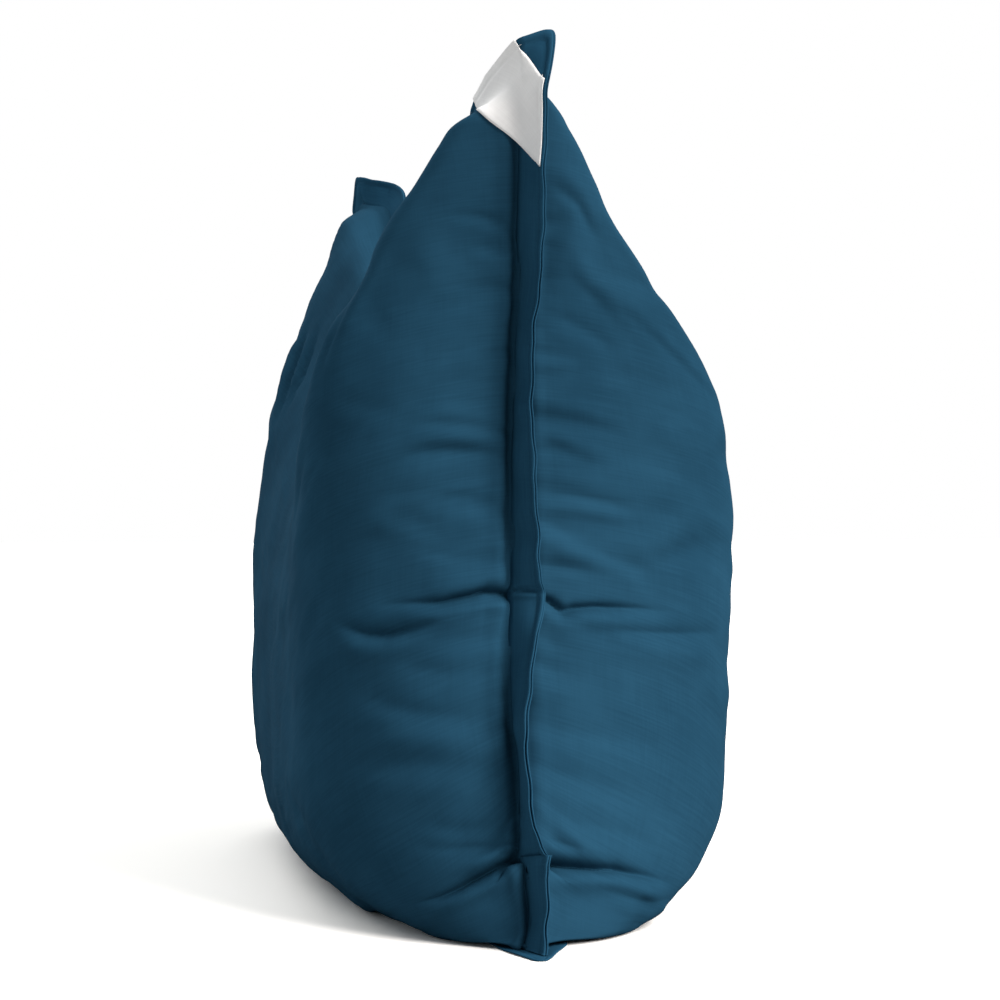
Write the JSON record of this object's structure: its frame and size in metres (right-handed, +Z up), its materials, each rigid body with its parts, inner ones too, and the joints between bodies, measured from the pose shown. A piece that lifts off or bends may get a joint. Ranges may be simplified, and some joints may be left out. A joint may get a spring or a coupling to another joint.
{
  "type": "giant bean bag",
  "caption": "Giant filled floor cushion of two sewn panels standing on its long edge, with a flat seam flange all round and a bare white label across one top ear.",
  "frame": {"origin": "centre of the bag's footprint box on the floor", "axes": "+Z up from the floor, +Y along the bag away from the labelled end, +X across it, to the right when the labelled end is faced"},
  "size_m": [0.6158, 1.568, 1.1737],
  "materials": {
    "cover_cloth": "matte",
    "flange_cloth": "matte",
    "label_satin": "satin"
  },
  "bodies": {
    "root": {"bag_body": "cover_cloth", "upper_flange": "flange_cloth", "lower_flange": "flange_cloth", "corner_label": "label_satin"}
  },
  "joints": []
}
